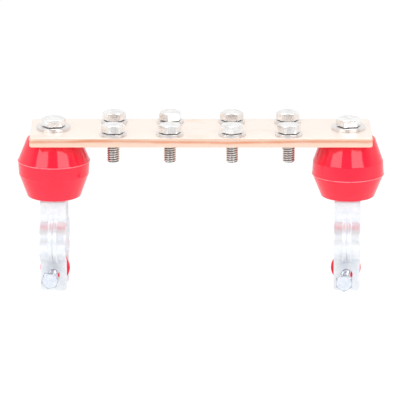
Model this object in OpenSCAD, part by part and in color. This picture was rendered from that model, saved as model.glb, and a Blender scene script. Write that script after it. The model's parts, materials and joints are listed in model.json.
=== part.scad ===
// Earth terminal bar: a drilled and tapped copper bar with eight bolted terminals, carried on
// two drum insulators, each standing on a U-shaped pipe hanger with a loosened clamp screw.
// Millimetres, +Z up, X along the bar, the hangers' feet on Z = 0.

/* [Copper bar] */
// Length of the bar
bar_length = 214.5; // [210:0.5:280]
// Width of the bar, front to back
bar_width = 50; // [50:1:80]
// Thickness of the bar
bar_thickness = 6; // [4:0.5:10]
// Radius of the bar's four corners, seen from above
bar_corner = 2.5; // [1:0.5:6]
// Radius of the bar's long edges
bar_edge = 0.8; // [0.2:0.1:1.5]

/* [Terminals] */
// Terminals in each of the two rows
terminals_per_row = 4; // [2:2:4]
// Distance between the front row and the rear row
row_spacing = 31.4; // [26:0.2:34]
// Distance between the two columns next to the bar's middle
middle_spacing = 39; // [30:0.2:40]
// Distance from a column to the next one outward
column_pitch = 35.5; // [30:0.1:36]
// Length of a terminal bolt under its head
terminal_bolt_length = 19; // [16:1:30]
// How far each terminal bolt's head is turned, front row first, left to right
terminal_head_turn = [8, 10, 27, 8, 0, 20, 0, 0];

/* [M8 fasteners] */
// Thread diameter of the terminal, end and hanger bolts
bolt_diameter = 8; // [6:1:8]
// Width across the flats of the terminal and hanger bolts
hex_flats = 13; // [12:0.5:14]
// Height of their heads
hex_height = 5.3; // [4:0.1:6]
// Height of the round face under a hexagon head or nut
hex_face = 0.4; // [0.2:0.1:0.8]
// Outer diameter of the terminal washers
washer_diameter = 17; // [15:0.5:19]
// Thickness of the terminal and hanger washers
washer_thickness = 1.6; // [1:0.1:2.5]
// Width across the flats of the two end bolts
end_hex_flats = 14; // [13:0.5:17]
// Height of the end bolts' heads
end_hex_height = 5; // [4:0.1:7]
// Length of an end bolt under its head
end_bolt_length = 20; // [17:1:21]
// Outer diameter of the end washers
end_washer_diameter = 21.5; // [18:0.5:24]
// Thickness of the end washers
end_washer_thickness = 1.8; // [1:0.1:2.5]
// How far the left and the right end bolt's heads are turned
end_head_turn = [10, 10];
// Length of the bolt that holds a hanger to its insulator
hanger_bolt_length = 14; // [10:1:16]
// Outer diameter of the washer under that bolt's head
hanger_washer_diameter = 13.5; // [12:0.1:13.8]

/* [Insulators] */
// Distance from the bar's end to the axis of its end bolt and insulator
end_hole_inset = 14.3; // [12:0.1:20]
// Height of an insulator
insulator_height = 37.4; // [34:0.1:60]
// Diameter of an insulator's flat ends
insulator_end_diameter = 34.4; // [28:0.2:36]
// Diameter at the wider rim, where the mould parts
insulator_rim_diameter = 45.4; // [42:0.2:54]
// Diameter at the narrower rim
insulator_belly_diameter = 44.4; // [41:0.2:52]
// Width of the band between the two rims
insulator_band = 8.6; // [4:0.2:14]
// Radius of the edge round the flat ends
insulator_edge = 0.9; // [0.3:0.1:2]
// How far the parting line stands out
parting_ridge = 0.2; // [0.1:0.05:0.5]
// Diameter of a moulded-in threaded insert
insert_diameter = 14; // [11:0.5:18]
// Length of an insert
insert_length = 14; // [13:0.5:16]

/* [Hanger straps] */
// Width of the strap
strap_width = 16.5; // [14:0.5:20]
// Thickness of the strap
strap_thickness = 1.8; // [1.2:0.1:2.5]
// Height from the feet to the top of the web
strap_height = 60.4; // [58:0.2:80]
// Clear distance between a strap's two legs
leg_gap = 16; // [16:0.5:24]
// Inner radius of the half-round pipe seats
seat_radius = 11.4; // [9:0.1:13]
// Height of the pipe seats' centre above the feet
seat_height = 32; // [30:0.2:34]
// How far a seat's centre lies inside the leg's inner face
seat_inset = 1.6; // [0.5:0.1:3]
// Outer bend radius where a seat meets its leg
crease_radius = 1.5; // [0.5:0.1:2]
// Inner bend radius where a leg meets the web
web_bend = 1; // [0.5:0.1:1.2]
// Radius of the feet's corners
foot_corner = 2; // [0.5:0.1:4]
// Width of one stiffening rib
rib_width = 2.5; // [1.5:0.1:3.5]
// Distance between the two ribs of a seat
rib_spacing = 3.4; // [2.6:0.1:4.5]
// How far a rib stands out from the strap
rib_height = 1; // [0.5:0.1:1.2]
// Width of the groove that the press leaves behind a rib, on the strap's inside
groove_width = 1.4; // [0.8:0.1:1.8]
// Depth of that groove
groove_depth = 0.6; // [0.3:0.1:0.9]
// How far the ribs run on above and below a seat
rib_run_out = [3.3, 0.3];
// How far each hanger is turned about its insulator's axis
hanger_turn = -3; // [-8:0.5:8]

/* [Clamp screws] */
// Thread diameter of a clamp screw
clamp_diameter = 6; // [5:0.5:6]
// Diameter of the holes that it passes through
clamp_hole_diameter = 7.6; // [7:0.1:9]
// Width across the flats of its head and nut
clamp_flats = 10; // [9:0.5:11]
// Height of its head
clamp_head_height = 4; // [3:0.1:5]
// Height of its nut
clamp_nut_height = 5; // [3:0.5:6]
// Length of a clamp screw under its head
clamp_length = 40; // [40:1:45]
// Height of a clamp screw above the feet
clamp_height = 10.4; // [9.8:0.1:11]
// How far the left and the right screw's heads stand out from the front leg
clamp_stand_out = [14, 19];
// Diameter of the disc that keeps the screw in the hanger
disc_diameter = 19; // [14:0.2:19]
// Thickness of that disc
disc_thickness = 1.8; // [1:0.1:3]

/* [Hidden] */
$fn = 64;
cut = 1;                  // how far a cutting solid runs past what it cuts
pitch_share = 0.9;        // pitch diameter of a thread over its outer diameter
thread_clearance = 0.05;  // radial gap between a thread and its tapped hole
passing_clearance = 0.5;  // radial gap between a bolt and a plain hole
washer_clearance = 0.2;   // radial gap between a bolt and its washer
moulded_clearance = 0.02; // gap between an insert and the plastic round it

insulator_spacing = bar_length - 2 * end_hole_inset;
tapped_diameter = pitch_share * bolt_diameter; // engaged threads are drawn at their pitch diameter
leg_outer = leg_gap / 2 + strap_thickness;
seat_centre = leg_gap / 2 - seat_inset;
crease_y = leg_outer + crease_radius; // axis of the bend between a seat and its leg, seen along X
crease_rise = sqrt(pow(seat_radius + strap_thickness + crease_radius, 2) - pow(crease_y - seat_centre, 2));
bar_bottom = strap_height + insulator_height;
bar_top = bar_bottom + bar_thickness;
terminal_count = 2 * terminals_per_row;
screw_reach = leg_outer + max(clamp_stand_out);
front_reach = max(bar_width / 2, screw_reach * cos(hanger_turn) + clamp_flats / 2 * sin(abs(hanger_turn)));
centre_y = (front_reach - bar_width / 2) / 2; // puts the origin under the middle of the whole part

function column_x(i) =
    let (from_middle = i - (terminals_per_row - 1) / 2)
    sign(from_middle) * (middle_spacing / 2 + (abs(from_middle) - 0.5) * column_pitch);
function terminal_place(i) = [
    column_x(i % terminals_per_row),
    (i < terminals_per_row ? -1 : 1) * row_spacing / 2,
    bar_top
];
function side_name(side) = side < 0 ? "left" : "right";
function side_value(pair, side) = side < 0 ? pair[0] : pair[1];

terminal_nodes = [for (i = [1:terminal_count]) for (piece = ["bolt", "washer"]) str("terminal_", piece, "_", i)];
side_pieces = ["insulator", "insert_top", "insert_bottom", "end_bolt", "end_washer", "hanger_strap",
    "hanger_bolt", "hanger_washer", "clamp_screw", "clamp_nut", "retaining_disc"];
side_nodes = [for (piece = side_pieces) for (side = [-1, 1]) str(piece, "_", side_name(side))];

// ---- Shapes that repeat ----

// A rectangle centred on X, standing on Y = 0, with its lower corners rounded.
module round_footed(width, height, radius) {
    translate([-width / 2, radius]) square([width, height - radius]);
    translate([radius - width / 2, 0]) square([width - 2 * radius, height]);
    for (side = [-1, 1]) translate([side * (width / 2 - radius), radius]) circle(r = radius);
}

// A rectangle centred on the origin, with all four corners rounded.
module rounded_rectangle(width, height, radius) {
    square([width - 2 * radius, height], center = true);
    square([width, height - 2 * radius], center = true);
    for (x = [-1, 1], y = [-1, 1])
        translate([x * (width / 2 - radius), y * (height / 2 - radius)]) circle(r = radius);
}

// A hexagonal head on Z = 0: a round face under it, and its top edge turned off at 30 degrees.
module hex_head(flats, height) {
    top_radius = 0.475 * flats;
    face_radius = 0.46 * flats;
    cylinder(r = face_radius, h = 2 * hex_face);
    intersection() {
        translate([0, 0, hex_face]) cylinder(d = flats / cos(30), h = height - hex_face, $fn = 6);
        cylinder(r1 = top_radius + height / tan(30), r2 = top_radius, h = height);
    }
}

// A hexagon bolt whose head sits on Z = 0, its shank pointing down to a chamfered end. Over
// the engaged length under the head the shank is drawn at the thread's pitch diameter.
module hex_bolt(diameter, length, flats, height, engaged = 0) {
    end_chamfer = diameter / 8;
    hex_head(flats, height);
    if (engaged > 0) translate([0, 0, -engaged]) cylinder(d = pitch_share * diameter, h = engaged + height / 2);
    translate([0, 0, end_chamfer - length])
        cylinder(d = diameter, h = length - end_chamfer - engaged + (engaged > 0 ? 0 : height / 2));
    translate([0, 0, -length]) cylinder(r1 = diameter / 2 - end_chamfer, r2 = diameter / 2, h = end_chamfer);
}

// A flat ring on Z = 0: a washer, or the disc on a clamp screw.
module ring(outer, bore, thickness) {
    difference() {
        cylinder(d = outer, h = thickness);
        translate([0, 0, -cut]) cylinder(d = bore, h = thickness + 2 * cut);
    }
}

// Places its children in the frame of one hanger and its insulator.
module at_side(side) {
    translate([side * insulator_spacing / 2, 0, 0]) rotate([0, 0, hanger_turn]) children();
}

// Lays its children, made along Z, on the axis of the clamp screw, pointing back along +Y.
module on_clamp_axis(y) {
    translate([0, y, clamp_height]) rotate([-90, 0, 0]) children();
}

// ---- Copper bar ----

module copper_bar() {
    color("#f2c2a0") difference() {
        translate([0, 0, bar_bottom + bar_thickness / 2]) intersection() {
            linear_extrude(bar_thickness, center = true) rounded_rectangle(bar_length, bar_width, bar_corner);
            rotate([90, 0, 90]) linear_extrude(bar_length, center = true)
                rounded_rectangle(bar_width, bar_thickness, bar_edge);
        }
        for (i = [0:terminal_count - 1])
            translate(terminal_place(i) - [0, 0, bar_thickness + cut])
                cylinder(r = tapped_diameter / 2 + thread_clearance, h = bar_thickness + 2 * cut);
        for (side = [-1, 1])
            translate([side * insulator_spacing / 2, 0, bar_bottom - cut])
                cylinder(r = bolt_diameter / 2 + passing_clearance, h = bar_thickness + 2 * cut);
    }
}

// ---- Terminals ----

module terminal_washer(i) {
    color("#d2d3d4") translate(terminal_place(i))
        ring(washer_diameter, bolt_diameter + 2 * washer_clearance, washer_thickness);
}

module terminal_bolt(i) {
    color("#c9cacb") translate(terminal_place(i) + [0, 0, washer_thickness])
        rotate([0, 0, terminal_head_turn[i]])
            hex_bolt(bolt_diameter, terminal_bolt_length, hex_flats, hex_height,
                engaged = washer_thickness + bar_thickness);
}

// ---- End bolts ----

module end_washer(side) {
    color("#d2d3d4") translate([side * insulator_spacing / 2, 0, bar_top])
        ring(end_washer_diameter, bolt_diameter + 2 * washer_clearance, end_washer_thickness);
}

module end_bolt(side) {
    color("#c9cacb") translate([side * insulator_spacing / 2, 0, bar_top + end_washer_thickness])
        rotate([0, 0, side_value(end_head_turn, side)])
            hex_bolt(bolt_diameter, end_bolt_length, end_hex_flats, end_hex_height);
}

// ---- Insulators ----

// Half the section of a threaded insert, with the waist that the plastic grips.
module insert_section(grow) {
    radius = insert_diameter / 2 + grow;
    waist = radius - 1;
    waist_low = insert_length / 3;
    waist_high = insert_length * 2 / 3;
    polygon([[0, -grow], [radius, -grow], [radius, waist_low], [waist, waist_low + 1], [waist, waist_high - 1],
        [radius, waist_high], [radius, insert_length + grow], [0, insert_length + grow]]);
}

// An insert whose mouth is on Z = 0, with its thread bored right through.
module insert() {
    color("#c9a64a") difference() {
        rotate_extrude() insert_section(0);
        translate([0, 0, -cut]) cylinder(r = bolt_diameter / 2 + thread_clearance, h = insert_length + 2 * cut);
    }
}

// Half the outline of the drum: two cones and a band, with a fine ridge on the wider rim.
module drum_section() {
    end = insulator_end_diameter / 2;
    belly = insulator_belly_diameter / 2;
    rim = insulator_rim_diameter / 2;
    belly_height = (insulator_height - insulator_band) / 2;
    rim_height = belly_height + insulator_band;
    ridge_half = 0.4;
    edge_steps = 4;
    lower_lean = atan((belly - end) / belly_height);
    upper_lean = atan((rim - end) / (insulator_height - rim_height));
    lower_edge = [for (k = [0:edge_steps]) let (a = -90 + k * (90 - lower_lean) / edge_steps)
        [end - insulator_edge + insulator_edge * cos(a), insulator_edge * (1 + sin(a))]];
    upper_edge = [for (k = [0:edge_steps]) let (a = upper_lean + k * (90 - upper_lean) / edge_steps)
        [end - insulator_edge + insulator_edge * cos(a), insulator_height - insulator_edge * (1 - sin(a))]];
    polygon(concat([[0, 0]], lower_edge, [[belly, belly_height], [rim, rim_height - ridge_half],
        [rim + parting_ridge, rim_height], [rim, rim_height + ridge_half]], upper_edge, [[0, insulator_height]]));
}

// The left drum has its wider rim on top; the right one is the same moulding upside down.
module insulator(side) {
    color("#e8203c") translate([side * insulator_spacing / 2, 0, strap_height + insulator_height / 2])
        difference() {
            rotate([side < 0 ? 0 : 180, 0, 0]) translate([0, 0, -insulator_height / 2])
                rotate_extrude($fn = 128) drum_section();
            for (end = [0, 180]) rotate([end, 0, 0]) translate([0, 0, -insulator_height / 2])
                rotate_extrude() insert_section(moulded_clearance);
        }
}

module insert_bottom(side) {
    translate([side * insulator_spacing / 2, 0, strap_height]) insert();
}

module insert_top(side) {
    translate([side * insulator_spacing / 2, 0, bar_bottom]) rotate([180, 0, 0]) insert();
}

// ---- Hangers ----

// The region inside one face of the bent strap, seen along X: grow is 0 for the inner face and
// the strap's thickness for the outer one. Bends keep their centres, so the sheet stays even.
module strap_face(grow) {
    half = leg_gap / 2 + grow;
    top = strap_height - strap_thickness + grow;
    corner = web_bend + grow;
    translate([-half, -cut]) square([2 * half, top - corner + cut]);
    translate([corner - half, 0]) square([2 * (half - corner), top]);
    for (side = [-1, 1]) {
        translate([side * (half - corner), top - corner]) circle(r = corner);
        translate([side * seat_centre, seat_height]) circle(r = seat_radius + grow);
        for (end = [-1, 1]) difference() {
            polygon([[side * seat_centre, seat_height], [side * half, seat_height + end * crease_rise],
                [side * crease_y, seat_height + end * crease_rise]]);
            translate([side * crease_y, seat_height + end * crease_rise])
                circle(r = crease_radius + strap_thickness - grow);
        }
    }
}

// The strip that the press works on, seen along Y: a slot with a rounded top end for each of the
// two ribs, from the lower crease of a seat to a little way up its leg.
module rib_slots(width) {
    seat_outer = seat_radius + strap_thickness;
    seat_rise = sqrt(pow(seat_outer, 2) - pow(leg_outer - seat_centre, 2));
    low = seat_height - seat_rise - rib_run_out[1];
    high = seat_height + seat_rise + rib_run_out[0] - width / 2;
    for (side = [-1, 1]) translate([side * rib_spacing / 2, 0]) {
        translate([-width / 2, low]) square([width, high - low]);
        translate([0, high]) circle(d = width);
    }
}

// The part of the strap's section between two offsets of its inner face, over the given slots.
module pressed(inner, outer, width) {
    depth = 2 * (seat_centre + seat_radius + strap_thickness + rib_height + cut);
    intersection() {
        rotate([90, 0, 90]) linear_extrude(strap_width, center = true) difference() {
            strap_face(outer);
            strap_face(inner);
        }
        rotate([90, 0, 0]) linear_extrude(depth, center = true) rib_slots(width);
    }
}

// A strap bent into a U that hangs from its web: two legs with half-round seats and drilled ears.
module hanger_strap(side) {
    depth = 2 * (seat_centre + seat_radius + strap_thickness + rib_height + cut);
    color("#dfe5ec") at_side(side) difference() {
        union() {
            intersection() {
                rotate([90, 0, 90]) linear_extrude(strap_width, center = true) difference() {
                    strap_face(strap_thickness);
                    strap_face(0);
                }
                rotate([90, 0, 0]) linear_extrude(depth, center = true)
                    round_footed(strap_width, strap_height + cut, foot_corner);
            }
            pressed(strap_thickness / 2, strap_thickness + rib_height, rib_width);
        }
        pressed(-cut, groove_depth, groove_width);
        on_clamp_axis(-depth / 2) cylinder(d = clamp_hole_diameter, h = depth);
        translate([0, 0, strap_height - strap_thickness - cut])
            cylinder(r = bolt_diameter / 2 + passing_clearance, h = strap_thickness + 2 * cut);
    }
}

module hanger_washer(side) {
    color("#d2d3d4") at_side(side) translate([0, 0, strap_height - strap_thickness - washer_thickness])
        ring(hanger_washer_diameter, bolt_diameter + 2 * washer_clearance, washer_thickness);
}

module hanger_bolt(side) {
    color("#c9cacb") at_side(side) translate([0, 0, strap_height - strap_thickness - washer_thickness])
        rotate([180, 0, 0]) hex_bolt(bolt_diameter, hanger_bolt_length, hex_flats, hex_height);
}

// ---- Clamp screws ----

module clamp_screw(side) {
    face_y = -leg_outer - side_value(clamp_stand_out, side);
    color("#c4cad0") at_side(side) on_clamp_axis(face_y + clamp_head_height) rotate([180, 0, 0])
        hex_bolt(clamp_diameter, clamp_length, clamp_flats, clamp_head_height);
}

module clamp_nut(side) {
    color("#c4cad0") at_side(side) on_clamp_axis(leg_outer) difference() {
        hex_head(clamp_flats, clamp_nut_height);
        translate([0, 0, -cut]) cylinder(r = clamp_diameter / 2 + thread_clearance, h = clamp_nut_height + 2 * cut);
    }
}

module retaining_disc(side) {
    color("#e8203c") at_side(side) on_clamp_axis(leg_gap / 2 - disc_thickness)
        ring(disc_diameter, clamp_diameter + 2 * thread_clearance, disc_thickness);
}

// ---- The part ----

translate([0, centre_y, 0]) {
    copper_bar();
    for (i = [0:terminal_count - 1]) {
        terminal_bolt(i);
        terminal_washer(i);
    }
    for (side = [-1, 1]) {
        insulator(side);
        insert_top(side);
        insert_bottom(side);
        end_bolt(side);
        end_washer(side);
        hanger_strap(side);
        hanger_bolt(side);
        hanger_washer(side);
        clamp_screw(side);
        clamp_nut(side);
        retaining_disc(side);
    }
}
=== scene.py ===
import json
from math import atan2, cos, radians, sin, sqrt, tan
import bmesh
import bpy
import numpy as np
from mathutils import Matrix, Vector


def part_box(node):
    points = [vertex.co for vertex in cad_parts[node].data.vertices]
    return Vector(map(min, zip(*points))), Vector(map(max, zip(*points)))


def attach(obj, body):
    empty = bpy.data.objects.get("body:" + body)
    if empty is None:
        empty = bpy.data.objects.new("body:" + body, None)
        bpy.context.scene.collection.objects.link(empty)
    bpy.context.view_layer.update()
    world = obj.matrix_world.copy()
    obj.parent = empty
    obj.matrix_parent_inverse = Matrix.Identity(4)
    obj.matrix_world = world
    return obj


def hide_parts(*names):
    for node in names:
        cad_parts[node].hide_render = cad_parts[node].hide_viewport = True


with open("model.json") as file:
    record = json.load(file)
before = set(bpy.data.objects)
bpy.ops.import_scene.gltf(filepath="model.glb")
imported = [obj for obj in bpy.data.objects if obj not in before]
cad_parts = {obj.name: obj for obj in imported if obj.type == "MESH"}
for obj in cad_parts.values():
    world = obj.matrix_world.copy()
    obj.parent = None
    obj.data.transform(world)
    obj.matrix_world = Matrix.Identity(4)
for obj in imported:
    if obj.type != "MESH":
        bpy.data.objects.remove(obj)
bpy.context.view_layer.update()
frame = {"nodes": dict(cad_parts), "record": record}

scene = bpy.context.scene
mm = 0.001

# ---- Copper bar ----
# A length of drawn 50 by 6 mm copper, sawn to length, its edges broken and its face drilled
# and tapped. Handling has left it warm and pale; the top is painted lighter as the lit face, and the sides carry
# painted shade with a painted dark band along them.

class Value:
    """A number that varies over a surface: Python's operators add the Math nodes."""
    def __init__(self, socket):
        self.socket = socket

    def _maths(self, operation, first, second=None):
        node = self.socket.node.id_data.nodes.new("ShaderNodeMath")
        node.operation = operation
        for slot, value in zip(node.inputs, (first, second)):
            if isinstance(value, Value):
                self.socket.node.id_data.links.new(slot, value.socket)
            elif value is not None:
                slot.default_value = value
        return Value(node.outputs[0])

    def __add__(self, other): return self._maths("ADD", self, other)
    def __radd__(self, other): return self._maths("ADD", other, self)
    def __sub__(self, other): return self._maths("SUBTRACT", self, other)
    def __rsub__(self, other): return self._maths("SUBTRACT", other, self)
    def __mul__(self, other): return self._maths("MULTIPLY", self, other)
    def __rmul__(self, other): return self._maths("MULTIPLY", other, self)
    def __truediv__(self, other): return self._maths("DIVIDE", self, other)
    def __pow__(self, other): return self._maths("POWER", self, other)
    def size(self): return self._maths("ABSOLUTE", self)
    def least(self, other): return self._maths("MINIMUM", self, other)
    def most(self, other): return self._maths("MAXIMUM", self, other)

    def ramp(self, low, high):
        """0 up to low, 1 from high on, and a smooth step between them."""
        node = self.socket.node.id_data.nodes.new("ShaderNodeMapRange")
        node.interpolation_type = "SMOOTHSTEP"
        self.socket.node.id_data.links.new(node.inputs["Value"], self.socket)
        node.inputs["From Min"].default_value = low
        node.inputs["From Max"].default_value = high
        return Value(node.outputs["Result"])


class Finish:
    """A material for one finish of this part, with its shader and the nodes that vary it."""
    def __init__(self, name, **sockets):
        self.material = bpy.data.materials.new(name)
        self.material.use_nodes = True
        self.tree = self.material.node_tree
        self.shader = self.tree.nodes["Principled BSDF"]
        self.place = self.add("ShaderNodeTexCoord")["Object"]
        for socket, value in sockets.items():
            self.put(socket.replace("_", " "), value)

    def add(self, kind, settings=None, inputs=None):
        """Adds a node of this type, with its settings made first and then its inputs."""
        node = self.tree.nodes.new(kind)
        for key, value in (settings or {}).items():
            setattr(node, key, value)
        for key, value in (inputs or {}).items():
            self.join(node.inputs[key], value)
        return node.outputs

    def join(self, slot, value):
        socket = value.socket if isinstance(value, Value) else value
        if isinstance(socket, bpy.types.NodeSocket):
            self.tree.links.new(slot, socket)
        else:
            slot.default_value = socket

    def put(self, socket, value):
        self.join(self.shader.inputs[socket], value)

    def axis(self, name):
        """One coordinate of the place on the surface, in metres."""
        return Value(self.add("ShaderNodeSeparateXYZ", None, {"Vector": self.place})[name])

    def mark(self, name):
        """A number that the piece's own mesh carries at its points, 0 where it carries none."""
        return Value(self.add("ShaderNodeAttribute", {"attribute_name": name})["Fac"])

    def noise(self, scale, detail=4.0, roughness=0.55, stretch=(1, 1, 1), at=(0, 0, 0)):
        """Smooth random values from 0 to 1; stretch says how many times finer along each axis."""
        where = self.add("ShaderNodeMapping", None, {"Vector": self.place, "Scale": stretch, "Location": at})[0]
        return Value(self.add("ShaderNodeTexNoise", None, {
            "Vector": where, "Scale": scale, "Detail": detail, "Roughness": roughness})["Fac"])

    def blend(self, mask, first, second):
        """The first colour where the mask is 0 and the second where it is 1."""
        node = self.add("ShaderNodeMix", {"data_type": "RGBA"}, {"Factor": mask})[0].node
        for slot, value in zip((node.inputs[6], node.inputs[7]), (first, second)):
            self.join(slot, value)
        return node.outputs[2]

    def bump(self, height, distance, strength=1.0):
        """Relief of the given height map, in metres."""
        self.put("Normal", self.add("ShaderNodeBump", None, {
            "Height": height, "Distance": distance, "Strength": strength})["Normal"])


def paint(hexadecimal):
    """A colour as shaders want it, from its plain screen value."""
    screen = np.array([int(hexadecimal[i:i + 2], 16) / 255 for i in (0, 2, 4)])
    light = np.where(screen <= 0.04045, screen / 12.92, ((screen + 0.055) / 1.055) ** 2.4)
    return (*light.tolist(), 1.0)


def make(name, points, faces, finish, *nodes, slot=None, smooth=30, painted_shade=None):
    """A new piece from its points and faces, which stands for the given CAD nodes. Faces that
    meet at less than the smooth angle are shaded as one surface. The painted shade, from 0 to 1
    at each point, says where dark shade is painted on the surface."""
    mesh = bpy.data.meshes.new(name)
    mesh.from_pydata(points.tolist(), [], faces)
    if painted_shade is not None:
        mesh.attributes.new("painted_shade", "FLOAT", "POINT").data.foreach_set("value", painted_shade.astype(np.float32))
    shape = bmesh.new()
    shape.from_mesh(mesh)
    bmesh.ops.remove_doubles(shape, verts=shape.verts, dist=0.001 * mm)
    shape.to_mesh(mesh)
    shape.free()
    mesh.shade_smooth()
    mesh.set_sharp_from_angle(angle=radians(smooth))
    mesh.materials.append(finish.material)
    piece = bpy.data.objects.new(name, mesh)
    scene.collection.objects.link(piece)
    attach(piece, "root")
    if nodes:
        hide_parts(*nodes)
    return piece


bar_low, bar_high = (np.array(c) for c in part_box("copper_bar"))
bar_centre = (bar_low + bar_high) / 2
record_mounts = {m["name"]: m for m in frame["record"]["mounts"]}

copper = Finish("drawn_copper", Metallic=0.65)
grain = copper.noise(900, 3, 0.6, (0.02, 1, 1))
patches = copper.noise(55, 5, 0.6, (0.5, 1, 1), (0.3, 0, 0))
blotch = copper.noise(160, 4, 0.6, (0.35, 1, 2))
tarnish = (patches.ramp(0.56, 0.78) * 0.55 + blotch.ramp(0.62, 0.8) * 0.35).least(1.0)
height_on_edge = (copper.axis("Z") - float(bar_low[2])) / float(bar_high[2] - bar_low[2])
on_side = 1 - ((copper.axis("Z") - float(bar_high[2])).size() / (0.9 * mm)).least(1.0).ramp(0.0, 0.6)
# Painted shade: away from the top, the side faces are painted darker than the lit top.
shaded_sides = (1 - on_side) * 1.0
wander = copper.noise(70, 4, 0.6, (0.25, 1, 1), (0, 0.2, 0)) - 0.5
# A painted band of shade along the side faces, at about 60 percent of their height, wandering with noise.
painted_shade_band = 1 - ((height_on_edge - 0.60 + wander * 0.6).size() / 0.24).least(1.0).ramp(0.0, 1.0)
painted_shade_band_strength = copper.noise(110, 5, 0.65, (0.4, 1, 1), (0, 0.5, 0)).ramp(0.25, 0.7) * 0.5 + 0.5
# The top colour is the lit copy, with random tarnish; the side colour is the painted shaded copy.
lit_top_and_tarnish = copper.blend(tarnish, paint("fff3ea"), paint("fdd6bd"))
shaded_side_colour = copper.blend((painted_shade_band * painted_shade_band_strength).least(1.0), paint("ffdfcb"), paint("f3a079"))
copper.put("Base Color", copper.blend(shaded_sides, lit_top_and_tarnish, shaded_side_colour))
copper.put("Roughness", 0.34 + grain * 0.12 + tarnish * 0.1)
copper.bump(grain * 0.6 + blotch * 0.4, 0.00004)


def closed_rounded_bar(low, high, corner, edge, steps=6):
    """A flat bar with round corners in plan and rolled long edges: an outline of constant
    distance from the plan, lowered by a quarter circle of the edge radius at top and bottom."""
    half = (np.array(high) - np.array(low)) / 2
    centre = (np.array(high) + np.array(low)) / 2
    turn = np.linspace(0, np.pi / 2, steps + 1)
    rows = [(edge * (1 - sin(a)), -half[2] + edge * (1 - cos(a))) for a in turn]
    rows += [(edge * (1 - sin(a)), half[2] - edge * (1 - cos(a))) for a in turn[::-1]]
    rings = []
    for inset, z in rows:
        radius = max(corner - inset, 0.0001)
        ring = []
        for quarter, (sx, sy) in enumerate(((1, 1), (-1, 1), (-1, -1), (1, -1))):
            a = np.pi / 2 * quarter + np.linspace(0, np.pi / 2, 9)
            cx, cy = sx * (half[0] - corner), sy * (half[1] - corner)
            ring.append(np.stack([cx + radius * np.cos(a), cy + radius * np.sin(a), np.full(9, z)], 1))
        rings.append(np.concatenate(ring))
    points = np.concatenate(rings) + centre
    count, wide = len(rings), len(rings[0])
    faces = tube_faces(count, wide)
    faces += [list(range(wide))[::-1], list(range((count - 1) * wide, count * wide))]
    return points, faces


def tube_faces(rows, wide, closed=True):
    """Quads of a grid whose rows are rings of the same number of points, row after row."""
    i = np.arange(rows - 1)[:, None] * wide
    j = np.arange(wide if closed else wide - 1)[None, :]
    k = (j + 1) % wide
    return np.stack([i + j, i + k, i + wide + k, i + wide + j], -1).reshape(-1, 4).tolist()


points, faces = closed_rounded_bar(bar_low, bar_high, 2.5 * mm, 0.8 * mm)
make("copper_bar_body", points, faces, copper, "copper_bar", slot="copper")

# ---- Terminals ----
# Eight M8 hexagon bolts of plain stainless steel, each on a stamped washer, screwed through the
# bar. The heads are cold forged with a washer face, the threads rolled.

steel = Finish("stainless_steel", Metallic=1.0)
brushed = steel.noise(1800, 3, 0.6, (1, 1, 0.15))
smudge = steel.noise(220, 4, 0.6)
unshaded_steel = steel.blend(smudge.ramp(0.35, 0.75), paint("fafafa"), paint("e6e2df"))
# The painted shade attribute paints a dark shadow line under each head and painted shade in the thread roots.
steel.put("Base Color", steel.blend(steel.mark("painted_shade"), unshaded_steel, paint("5a4f4a")))
steel.put("Roughness", 0.13 + brushed * 0.08 + smudge * 0.06)
steel.bump(brushed, 0.00001)

stamped = Finish("stamped_steel", Metallic=1.0)
tumbled = stamped.noise(900, 4, 0.6)
stamped.put("Base Color", stamped.blend(tumbled.ramp(0.3, 0.7), paint("f4f2f1"), paint("e2dddb")))
stamped.put("Roughness", 0.27 + tumbled * 0.14)
stamped.bump(tumbled, 0.00001)

COLUMNS = 96


def turned(profile, columns=COLUMNS):
    """Points on a surface of revolution about Z: the profile is a list of (radius, height)."""
    radius, height = np.array(profile, float).T
    angle = 2 * np.pi * np.arange(columns) / columns
    return np.stack([radius[:, None] * np.cos(angle), radius[:, None] * np.sin(angle),
                     np.repeat(height[:, None], columns, 1)], -1)


def hex_radius(angle, flats):
    """Distance from the axis to the side of a hexagon in the given directions."""
    return flats / 2 / np.cos(angle % (np.pi / 3) - np.pi / 6)


def hexagon_head(flats, height, face, turn, ring=0.0):
    """Rows of a bolt head from its washer face to the middle of its top: the side ends where
    the hexagon meets a 30 degree cone, and the top is very slightly dished. The washer face
    carries painted shade in full, and the chamfer a painted shade ring by the share given as ring."""
    angle = 2 * np.pi * np.arange(COLUMNS) / COLUMNS
    side = hex_radius(angle, flats)
    crown = 0.475 * flats
    chamfer = (side - crown) * tan(radians(30))
    lower = (side - flats / 2) * 0.5
    rows = [(np.zeros(COLUMNS), np.zeros(COLUMNS)),
            (np.full(COLUMNS, 0.46 * flats), np.zeros(COLUMNS)),
            (np.full(COLUMNS, 0.46 * flats), np.full(COLUMNS, face)),
            (side - 0.15 * mm, face + 0 * side),
            (side, face + 0.15 * mm + lower * 0.3),
            (side, height - chamfer - 0.1 * mm),
            (side - 0.08 * mm, height - chamfer + 0.02 * mm),
            (np.full(COLUMNS, crown + 0.1 * mm), np.full(COLUMNS, height - 0.08 * mm)),
            (np.full(COLUMNS, crown - 0.15 * mm), np.full(COLUMNS, height)),
            (np.full(COLUMNS, 0.30 * flats), np.full(COLUMNS, height - 0.04 * mm)),
            (np.zeros(COLUMNS), np.full(COLUMNS, height - 0.06 * mm))]
    angle = angle + radians(turn)
    # Painted shade: a dark shadow line on the washer face under the head, and a darker ring on the chamfer.
    painted_shade = np.zeros((len(rows), COLUMNS))
    painted_shade[1:3] = 1.0
    painted_shade[5:8] = ring
    return np.stack([np.stack([r * np.cos(angle), r * np.sin(angle), z], -1) for r, z in rows]), painted_shade


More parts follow.
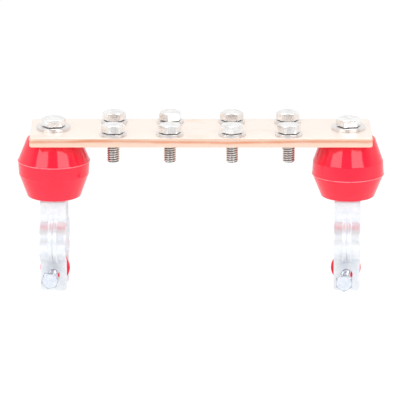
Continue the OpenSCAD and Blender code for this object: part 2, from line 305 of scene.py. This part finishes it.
def threaded_shank(diameter, top, bottom, pitch, start=0.0, chamfer=0.9 * mm):
    """Rows of a screw thread from a little inside the head down to the chamfered tip: the
    radius falls from crest to root by a rounded V of the helix's phase, height over pitch less
    the turn."""
    columns, per_turn = COLUMNS, 12
    z = np.linspace(bottom, top, int((top - bottom) / pitch * per_turn) + 1)
    angle = 2 * np.pi * np.arange(columns) / columns
    phase = (z[:, None] / pitch - angle / (2 * np.pi) + start) % 1.0
    depth = np.clip(1 - np.abs(phase - 0.5) * 2.35, 0, 1) * 0.61 * pitch
    radius = diameter / 2 - depth
    tip = diameter / 2 - chamfer + (z[:, None] - bottom)
    radius = np.minimum(radius, tip)
    # Painted shade in the thread roots, darker where the groove is deeper.
    painted_shade = 0.75 * np.clip(depth / (0.5 * pitch), 0, 1) ** 1.5
    return np.stack([radius * np.cos(angle), radius * np.sin(angle), np.repeat(z[:, None], columns, 1)], -1), painted_shade


def joined(*surfaces, close=()):
    """One list of points and faces from several grids of rings; close names the grids whose
    first and last rings are filled with caps."""
    points, faces, base = [], [], 0
    for number, grid in enumerate(surfaces):
        rows, wide = grid.shape[:2]
        faces += [[base + v for v in f] for f in tube_faces(rows, wide)]
        if number in close:
            faces.append([base + v for v in range(wide)][::-1])
            faces.append([base + (rows - 1) * wide + v for v in range(wide)])
        points.append(grid.reshape(-1, 3))
        base += rows * wide
    return np.concatenate(points), faces


def washer_rings(outer, bore, thickness, roll=0.25 * mm):
    """Rings of a stamped washer: round the outer edge, over the top, down the bore, and back
    underneath, so that the surface closes on itself."""
    profile = [(outer - roll * (1 - sin(a)), roll * (1 - cos(a))) for a in np.linspace(0, np.pi / 2, 5)]
    profile += [(outer - roll * (1 - cos(a)), thickness - roll * (1 - sin(a))) for a in np.linspace(0, np.pi / 2, 5)]
    profile += [(bore, thickness), (bore, 0.0), (outer - roll, 0.0)]
    return turned(profile)


THREAD_PITCH = 1.45 * mm
head_turn = [8, 10, 27, 8, 0, 20, 0, 0]
for number in range(1, 9):
    low, high = (np.array(c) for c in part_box(f"terminal_bolt_{number}"))
    w_low, w_high = (np.array(c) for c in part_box(f"terminal_washer_{number}"))
    axis = np.array([(w_low[0] + w_high[0]) / 2, (w_low[1] + w_high[1]) / 2, 0.0])
    outer = (w_high[0] - w_low[0]) / 2
    washer = washer_rings(outer, 4.2 * mm, w_high[2] - w_low[2]) + axis + [0, 0, w_low[2]]
    points, faces = joined(washer)
    make(f"stamped_washer_{number}", points, faces, stamped, f"terminal_washer_{number}", slot="stainless")
    head_height = high[2] - w_high[2]
    head, head_painted_shade = hexagon_head(13 * mm, head_height, 0.45 * mm, head_turn[number - 1])
    shank, shank_painted_shade = threaded_shank(8 * mm, w_high[2] + 0.3 * mm, low[2], THREAD_PITCH, 0.13 * number)
    head = head + axis + [0, 0, w_high[2]]
    shank = shank + axis
    points, faces = joined(head, shank, close=(1,))
    make(f"terminal_bolt_{number}_body", points, faces, steel, f"terminal_bolt_{number}", slot="stainless",
         painted_shade=np.concatenate([head_painted_shade.ravel(), shank_painted_shade.ravel()]))

# ---- End bolts ----
# One M8 bolt with a flatter head and a broad washer at each end of the bar, screwed into the
# brass insert of the insulator below.

for side in ("left", "right"):
    low, high = (np.array(c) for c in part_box(f"end_bolt_{side}"))
    w_low, w_high = (np.array(c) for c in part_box(f"end_washer_{side}"))
    axis = np.array([(w_low[0] + w_high[0]) / 2, (w_low[1] + w_high[1]) / 2, 0.0])
    washer = washer_rings((w_high[0] - w_low[0]) / 2, 4.2 * mm, w_high[2] - w_low[2]) + axis + [0, 0, w_low[2]]
    points, faces = joined(washer)
    make(f"broad_washer_{side}", points, faces, stamped, f"end_washer_{side}", slot="stainless")
    head, head_painted_shade = hexagon_head(14 * mm, high[2] - w_high[2], 0.5 * mm, 10)
    shank, shank_painted_shade = threaded_shank(8 * mm, w_high[2] + 0.3 * mm, low[2], THREAD_PITCH, 0.3)
    points, faces = joined(head + axis + [0, 0, w_high[2]], shank + axis, close=(1,))
    make(f"end_bolt_{side}_body", points, faces, steel, f"end_bolt_{side}", slot="stainless",
         painted_shade=np.concatenate([head_painted_shade.ravel(), shank_painted_shade.ravel()]))

# ---- Insulators ----
# Two drums of glossy red moulding compound, pressed round brass inserts. The two halves of the
# mould leave a fine ridge on the wider rim, which carries a painted pale highlight; the right drum stands upside down.


def red_moulding(name, parting):
    """Glossy red compound with a painted pale highlight line, slightly broken, at the height of parting."""
    red = Finish(name, IOR=1.5)
    cloud = red.noise(90, 3, 0.5)
    speck = red.noise(1500, 2, 0.5)
    broken = red.noise(240, 4, 0.6).ramp(0.3, 0.6) * 0.5 + 0.5
    # A painted highlight: a pale line along the rim at the parting height.
    painted_rim_highlight = (1 - (red.axis("Z") - parting).size() / (0.35 * mm)).most(0.0).ramp(0.0, 0.7) * broken
    plain = red.blend(cloud.ramp(0.3, 0.8), paint("ff2340"), paint("f81b38"))
    red.put("Base Color", red.blend(painted_rim_highlight, plain, paint("ff98a4")))
    red.put("Roughness", 0.07 + speck * 0.05 + painted_rim_highlight * 0.3)
    red.bump(cloud * 0.8 + speck * 0.2, 0.00003)
    return red


def drum_profile(height, end, rim, belly, band, edge, ridge):
    """Half outline of the drum from the middle of its foot to the middle of its top: cones,
    a band between two rims, round edges and a fine ridge on the wider rim."""
    low = (height - band) / 2
    high = low + band
    lean_low = atan2(belly - end, low)
    lean_high = atan2(rim - end, height - high)
    steps = np.linspace(0, 1, 7)
    a = -np.pi / 2 + steps * (np.pi / 2 - lean_low)
    foot = np.stack([end - edge + edge * np.cos(a), edge * (1 + np.sin(a))], 1)
    a = lean_high + steps * (np.pi / 2 - lean_high)
    top = np.stack([end - edge + edge * np.cos(a), height - edge * (1 - np.sin(a))], 1)
    width = 0.25 * mm
    rims = [[belly - 0.25 * mm, low - 0.35 * mm], [belly - 0.03 * mm, low], [belly + 0.02 * mm, low + 0.45 * mm],
            [rim - 0.03 * mm, high - width * 1.3], [rim + ridge, high - width * 0.4], [rim + ridge, high + width * 0.4],
            [rim - 0.12 * mm, high + width * 1.3]]
    return np.concatenate([[[0, 0]], foot, rims, top, [[0, height]]])


for side in ("left", "right"):
    low, high = (np.array(c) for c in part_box(f"insulator_{side}"))
    axis = (low + high) / 2
    height = high[2] - low[2]
    profile = drum_profile(height, 17.2 * mm, (high[0] - low[0]) / 2 - 0.2 * mm, 22.2 * mm, 8.6 * mm, 0.9 * mm, 0.2 * mm)
    if side == "right":
        profile = np.stack([profile[::-1, 0], height - profile[::-1, 1]], 1)
    grid = turned(profile, 192) + [axis[0], axis[1], low[2]]
    points, faces = joined(grid)
    rim = low[2] + height / 2 + (4.3 * mm if side == "left" else -4.3 * mm)
    make(f"drum_{side}", points, faces, red_moulding(f"red_moulding_{side}", float(rim)), f"insulator_{side}", slot="insulator_red", smooth=12)

brass = Finish("turned_brass", Metallic=1.0)
rings = brass.noise(700, 3, 0.6, (0.1, 0.1, 3))
brass.put("Base Color", brass.blend(rings.ramp(0.3, 0.7), paint("d9b968"), paint("b8923f")))
brass.put("Roughness", 0.3 + rings * 0.15)
for end in ("top", "bottom"):
    for side in ("left", "right"):
        node = frame["nodes"][f"insert_{end}_{side}"]
        node.data.materials.clear()
        node.data.materials.append(brass.material)

# ---- Hangers ----
# Pressed steel strap, zinc plated, bent into a U with two half-round seats that close on a pipe.
# Two ribs stiffen each seat. An M8 bolt and washer hold the web to the insulator.

zinc = Finish("bright_zinc", Metallic=0.58)
spangle = zinc.noise(260, 4, 0.6)
fine = zinc.noise(2600, 3, 0.6)
zinc.put("Base Color", zinc.blend(spangle.ramp(0.3, 0.75), paint("fbfdff"), paint("ecf2fa")))
zinc.put("Roughness", 0.29 + spangle * 0.12 + fine * 0.06)
zinc.bump(spangle * 0.7 + fine * 0.3, 0.00004)
def strap_path(gap, height, seat_height, seat_radius, inset, thickness, crease, bend):
    """Middle line of the sheet, seen along X, from one foot to the other: a leg, the lower
    crease, a seat, the upper crease, the leg again, a bend to the web, and all of it mirrored.
    Straight runs and arcs are sampled evenly. Returns places and outward directions."""
    leg = gap / 2 + thickness / 2
    seat = gap / 2 - inset
    seat_r = seat_radius + thickness / 2
    crease_r = crease + thickness / 2
    crease_y = gap / 2 + thickness + crease
    rise = sqrt((seat_r + crease_r) ** 2 - (crease_y - seat) ** 2)
    meet = atan2(rise, crease_y - seat)
    web_r = bend + thickness / 2
    top = height - thickness / 2

    def arc(y, z, radius, start, end, inward=1.0):
        a = np.linspace(start, end, max(3, int(abs(end - start) / radians(4)) + 1))
        out = np.stack([np.cos(a), np.sin(a)], 1)
        return np.array([y, z]) + radius * out, inward * out

    def run(start, end, out):
        t = np.linspace(0, 1, max(2, int(np.hypot(end[0] - start[0], end[1] - start[1]) / (0.8 * mm)) + 1))[:, None]
        return np.array(start) + t * (np.array(end) - np.array(start)), np.tile(out, (len(t), 1))

    low, high = seat_height - rise, seat_height + rise
    half = [run((leg, 0), (leg, low), (1.0, 0.0)),
            arc(crease_y, low, crease_r, np.pi, np.pi - meet, -1.0),
            arc(seat, seat_height, seat_r, -meet, meet),
            arc(crease_y, high, crease_r, np.pi + meet, np.pi, -1.0),
            run((leg, high), (leg, top - web_r), (1.0, 0.0)),
            arc(leg - web_r, top - web_r, web_r, 0, np.pi / 2),
            run((leg - web_r, top), (0, top), (0.0, 1.0))]
    places = np.concatenate([p[:-1] for p, _ in half])
    outward = np.concatenate([o[:-1] for _, o in half])
    mirror = np.array([-1.0, 1.0])
    return (np.concatenate([places, half[-1][0][-1:], (places * mirror)[::-1]]),
            np.concatenate([outward, [[0.0, 1.0]], (outward * mirror)[::-1]]))


def pressed_strap(width, thickness, places, outward, foot, slots, rib, groove):
    """The sheet carried along its path: at each place a closed section runs across the outer
    face and back across the inner one. A rib raises the outer face and sinks the inner one by a
    rounded hump across each slot, which fades out at the slot's ends. The feet are narrowed by
    their corner radius."""
    spacing, rib_width, low, high = slots
    across = np.linspace(-1, 1, 67) * (width / 2)
    roll = 0.2 * mm
    z = places[:, 1]
    fade = np.clip((z - low + 0.6 * mm) / (1.2 * mm), 0, 1) * np.clip((high - z) / (rib_width / 2), 0, 1)
    fade = np.sqrt(np.clip(1 - (1 - fade) ** 2, 0, 1))[:, None]
    off = (np.abs(np.abs(across) - spacing / 2) / (rib_width / 2))[None, :]
    narrow = np.clip(fade, 1e-6, 1)
    hump = np.sqrt(np.clip(1 - (off / narrow) ** 2, 0, 1)) * fade
    dip = np.clip(1 - (off * 1.25) ** 2, 0, 1) * fade
    edge = np.clip((width / 2 - np.abs(across)) / roll, 0, 1)
    edge = roll * (1 - np.sqrt(np.clip(1 - (1 - edge) ** 2, 0, 1)))
    squeeze = foot - np.sqrt(np.clip(foot ** 2 - np.clip(foot - z, 0, foot) ** 2, 0, None))
    x = across[None, :] * (1 - squeeze / (width / 2))[:, None]
    top = thickness / 2 - edge + rib * hump
    low_face = -thickness / 2 + edge + groove * dip
    def face(offset):
        return np.stack([x, places[:, None, 0] + outward[:, None, 0] * offset,
                         places[:, None, 1] + outward[:, None, 1] * offset], -1)
    return np.concatenate([face(top), face(low_face)[:, ::-1]], 1)


def capped(grid):
    """Points and faces of a tube of rings with both ends filled."""
    rows, wide = grid.shape[:2]
    faces = tube_faces(rows, wide) + [list(range(wide))[::-1], list(range((rows - 1) * wide, rows * wide))]
    return grid.reshape(-1, 3), faces


def drilled(piece, *tools):
    """Cuts the shapes of the tools out of a piece, for good, and removes the tools."""
    for tool in tools:
        cutter = piece.modifiers.new("hole", "BOOLEAN")
        cutter.operation, cutter.solver, cutter.object = "DIFFERENCE", "EXACT", tool
    shape = bpy.data.meshes.new_from_object(piece.evaluated_get(bpy.context.evaluated_depsgraph_get()))
    piece.modifiers.clear()
    piece.data = shape
    for tool in tools:
        bpy.data.objects.remove(tool)
    shape.shade_smooth()
    shape.set_sharp_from_angle(angle=radians(40))


def rod(radius, start, end, columns=64):
    """A plain round cutter between two points on a line along Y or Z."""
    start, end = np.array(start, float), np.array(end, float)
    a = 2 * np.pi * np.arange(columns) / columns
    along = (end - start) / np.linalg.norm(end - start)
    side = np.cross(along, (1.0, 0.0, 0.0))
    ring = np.cos(a)[:, None] * np.array([1.0, 0, 0]) + np.sin(a)[:, None] * side
    points, faces = capped(np.stack([start + radius * ring, end + radius * ring]))
    mesh = bpy.data.meshes.new("cutter")
    mesh.from_pydata(points.tolist(), [], faces)
    piece = bpy.data.objects.new("cutter", mesh)
    scene.collection.objects.link(piece)
    return piece


def placed(points, side):
    """Points of a hanger, made about its own axis, turned and moved to its side of the bar."""
    axis = hanger_axis[side]
    c, s = cos(hanger_lean), sin(hanger_lean)
    x, y = points[..., 0] * c - points[..., 1] * s, points[..., 0] * s + points[..., 1] * c
    return np.stack([x + axis[0], y + axis[1], points[..., 2]], -1)


seats = {name: np.array(mount["pos_m"], float) for name, mount in record_mounts.items() if "seat" in name}
between = seats["pipe_seat_rear_left"] - seats["pipe_seat_front_left"]
hanger_lean = atan2(-between[0], between[1])
hanger_axis = {side: (seats[f"pipe_seat_front_{side}"] + seats[f"pipe_seat_rear_{side}"]) / 2 for side in ("left", "right")}
seat_middle = float(np.hypot(between[0], between[1])) / 2
seat_round = float(record_mounts["pipe_seat_front_left"]["dims"]["r_mm"]) * mm
strap_width = float(record_mounts["pipe_seat_front_left"]["dims"]["length_mm"]) * mm
seat_level = float(seats["pipe_seat_front_left"][2])
strap_top = float(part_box("hanger_strap_left")[1][2])
sheet = 1.8 * mm
leg_gap = 16 * mm
clamp_level = 10.4 * mm
places, outward = strap_path(leg_gap, strap_top, seat_level, seat_round, leg_gap / 2 - seat_middle, sheet, 1.5 * mm, 1 * mm)
slots = (3.4 * mm, 2.5 * mm, 18.9 * mm, 49.3 * mm)
for side in ("left", "right"):
    grid = pressed_strap(strap_width, sheet, places, outward, 2 * mm, slots, 1.0 * mm, 0.6 * mm)
    points, faces = capped(placed(grid, side))
    strap = make(f"pressed_strap_{side}", points, faces, zinc, f"hanger_strap_{side}", slot="strap_zinc", smooth=40)
    out = leg_gap / 2 + 4 * mm
    ends = placed(np.array([[0, -out, clamp_level], [0, out, clamp_level], [0, 0, strap_top - 4 * mm], [0, 0, strap_top + 1 * mm]]), side)
    drilled(strap, rod(3.8 * mm, ends[0], ends[1]), rod(4.5 * mm, ends[2], ends[3]))
    for name in ("hanger_bolt", "hanger_washer"):
        node = frame["nodes"][f"{name}_{side}"]
        node.data.materials.clear()
        node.data.materials.append(steel.material)

# ---- Clamp screws ----
# An M6 by 40 hexagon screw through the ears of each hanger, zinc plated, with a nut behind the
# rear ear. A red plastic disc gripped on the thread keeps the screw from falling out.

plated = Finish("plated_screw", Metallic=0.7)
cast = plated.noise(420, 3, 0.6)
unshaded_plating = plated.blend(cast.ramp(0.3, 0.7), paint("edf2fb"), paint("dde5f0"))
# The painted shade attribute paints a dark shadow line under the head, a darker chamfer ring and shade in the thread
# roots.
plated.put("Base Color", plated.blend(plated.mark("painted_shade"), unshaded_plating, paint("5d6670")))
plated.put("Roughness", 0.16 + cast * 0.1)
plated.bump(cast, 0.00002)

soft_red = Finish("smooth_red_disc", Roughness=0.35, IOR=1.5)
mottle = soft_red.noise(300, 3, 0.5)
soft_red.put("Base Color", soft_red.blend(mottle.ramp(0.3, 0.7), paint("ff3048"), paint("ee2038")))
soft_red.bump(mottle, 0.00002)

screw_lean = radians(-2)


def on_screw(points, side, start, lean=0.0):
    """Points made about Z, laid along a clamp screw so that Z points out of the front ear,
    from the given place on its axis; a screw also leans about its nut."""
    x, y, z = points[..., 0], start - points[..., 2], clamp_level + points[..., 1]
    pivot = leg_gap / 2 + sheet
    turned_x = x * cos(lean) - (y - pivot) * sin(lean)
    turned_y = x * sin(lean) + (y - pivot) * cos(lean) + pivot
    return placed(np.stack([turned_x, turned_y, z], -1), side)


def on_axis(node, side):
    """How far behind the middle of a hanger the middle of a node on its screw's axis lies."""
    box_low, box_high = (np.array(c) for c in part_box(node))
    return float((box_low + box_high)[1] / 2 - hanger_axis[side][1]) / cos(hanger_lean)


def hexagon_nut(flats, bore, height):
    """Rings of a nut: up its chamfered hexagon and back down the bore to where they began."""
    angle = 2 * np.pi * np.arange(COLUMNS) / COLUMNS
    side = hex_radius(angle, flats)
    crown = 0.475 * flats
    chamfer = (side - crown) * tan(radians(30))
    flat = np.ones(COLUMNS)
    rows = [(crown * flat, 0 * flat), (side, chamfer), (side, height - chamfer), (crown * flat, height * flat),
            ((bore + 0.4 * mm) * flat, height * flat), (bore * flat, (height - 0.4 * mm) * flat),
            (bore * flat, 0.4 * mm * flat), ((bore + 0.4 * mm) * flat, 0 * flat), (crown * flat, 0 * flat)]
    return np.stack([np.stack([r * np.cos(angle), r * np.sin(angle), z], -1) for r, z in rows])


for side in ("left", "right"):
    screw_low, screw_high = (np.array(c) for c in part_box(f"clamp_screw_{side}"))
    half_flats = 5 * mm
    reach = (hanger_axis[side][1] - screw_low[1] - half_flats * sin(abs(hanger_lean))) / cos(hanger_lean)
    head, head_painted_shade = hexagon_head(2 * half_flats, 4 * mm, 0.4 * mm, 30 if side == "right" else 12, 0.35)
    shank, shank_painted_shade = threaded_shank(6 * mm, 0.3 * mm, -40 * mm, 1.0 * mm, 0.2, 0.7 * mm)
    start = 4 * mm - float(reach)
    points, faces = joined(on_screw(head, side, start, screw_lean), on_screw(shank, side, start, screw_lean), close=(1,))
    make(f"clamp_screw_{side}_body", points, faces, plated, f"clamp_screw_{side}", slot="screw_zinc",
         painted_shade=np.concatenate([head_painted_shade.ravel(), shank_painted_shade.ravel()]))
    nut = hexagon_nut(10 * mm, 3.05 * mm, 5 * mm)
    points, faces = joined(on_screw(nut, side, on_axis(f"clamp_nut_{side}", side) + 2.5 * mm))
    make(f"clamp_nut_{side}_body", points, faces, plated, f"clamp_nut_{side}", slot="screw_zinc")
    disc_low, disc_high = (np.array(c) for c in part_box(f"retaining_disc_{side}"))
    disc = washer_rings((disc_high[2] - disc_low[2]) / 2, 3.1 * mm, 1.8 * mm, 0.35 * mm)
    slack = np.array([-0.5 * mm if side == "left" else -0.7 * mm, 0, 0])
    points, faces = joined(on_screw(disc + slack, side, on_axis(f"retaining_disc_{side}", side) + 0.9 * mm, screw_lean))
    make(f"retaining_disc_{side}_body", points, faces, soft_red, f"retaining_disc_{side}", slot="disc_red")

# ---- Studio ----
# A plain white sweep under soft boxes: not part of the object.

floor_mesh = bpy.data.meshes.new("floor")
reach = 4.0
floor_mesh.from_pydata([(-reach, -reach, 0), (reach, -reach, 0), (reach, reach, 0), (-reach, reach, 0)], [], [(0, 1, 2, 3)])
floor = bpy.data.objects.new("floor", floor_mesh)
scene.collection.objects.link(floor)
sweep = Finish("white_sweep", Base_Color=(0.9, 0.9, 0.9, 1), Roughness=1.0, Specular_IOR_Level=0.0)
path = sweep.add("ShaderNodeLightPath")
seen = Value(path["Is Camera Ray"]).most(Value(path["Is Glossy Ray"])).most(Value(path["Is Transmission Ray"]))
front = 1 - sweep.axis("Y").ramp(-0.7, -0.12)
shade = 0.93 - front * Value(path["Is Glossy Ray"]) * 0.4
glow = sweep.add("ShaderNodeEmission", None, {"Color": (1, 1, 1, 1), "Strength": shade})[0]
plain = sweep.add("ShaderNodeBsdfDiffuse", None, {"Color": (0.12, 0.12, 0.12, 1)})[0]
both = sweep.add("ShaderNodeAddShader", None, {0: glow, 1: plain})[0]
output = sweep.tree.nodes["Material Output"]
mixed = sweep.add("ShaderNodeMixShader", None, {0: seen, 1: sweep.shader.outputs[0], 2: both})[0]
sweep.tree.links.new(output.inputs["Surface"], mixed)
floor_mesh.materials.append(sweep.material)

world = bpy.data.worlds.new("studio")
scene.world = world
world.use_nodes = True
tree = world.node_tree
background = tree.nodes["Background"]
direction = tree.nodes.new("ShaderNodeTexCoord").outputs["Generated"]
split = tree.nodes.new("ShaderNodeSeparateXYZ")
tree.links.new(split.inputs[0], direction)
behind = Value(split.outputs["Y"]).ramp(-0.45, 0.15)
light_path = tree.nodes.new("ShaderNodeLightPath")
glossy = Value(light_path.outputs["Is Glossy Ray"])
plain_level = 0.62
mirrored = behind * 0.75 + 0.25
strength = (glossy * mirrored + (1 - glossy) * plain_level).most(Value(light_path.outputs["Is Camera Ray"]))
tree.links.new(background.inputs["Strength"], strength.socket)
background.inputs["Color"].default_value = (1, 1, 1, 1)


def soft_box(name, place, aim, width, height, radiance):
    """A rectangular lamp of even brightness that faces the point it is aimed at."""
    lamp = bpy.data.lights.new(name, "AREA")
    lamp.shape = "RECTANGLE"
    lamp.size, lamp.size_y = width, height
    lamp.energy = radiance * np.pi * width * height
    box = bpy.data.objects.new(name, lamp)
    toward = np.array(aim) - np.array(place)
    toward = toward / np.linalg.norm(toward)
    box.location = place
    box.rotation_euler = (np.arccos(-toward[2]), 0, atan2(toward[1], toward[0]) - np.pi / 2)
    scene.collection.objects.link(box)


middle = np.array([0.0, bar_centre[1], 0.07])
away = 1.7
for name, azimuth, radiance in (("left_box", -43, 3.0), ("right_box", 34, 3.2)):
    along = np.array([sin(radians(azimuth)), -cos(radians(azimuth)), tan(radians(27))])
    soft_box(name, middle + away * along, middle, 2 * away * tan(radians(20)), 1.05, radiance)
soft_box("top_box", (0.0, 0.3, 1.5), middle, 1.2, 1.2, 0.8)

# ---- Camera ----
# A long lens, level across the bar and looking a little down on it.

elevation = radians(15.73)
distance = 2.4
camera_data = bpy.data.cameras.new("camera")
camera_data.lens = 340.8
camera_data.sensor_width = 36
camera = bpy.data.objects.new("camera", camera_data)
aim = np.array([-0.6 * mm, bar_centre[1], 56.9 * mm])
camera.location = aim + distance * np.array([0, -cos(elevation), sin(elevation)])
camera.rotation_euler = (np.pi / 2 - elevation, 0, 0)
scene.collection.objects.link(camera)
scene.camera = camera
scene.view_settings.view_transform = "Standard"
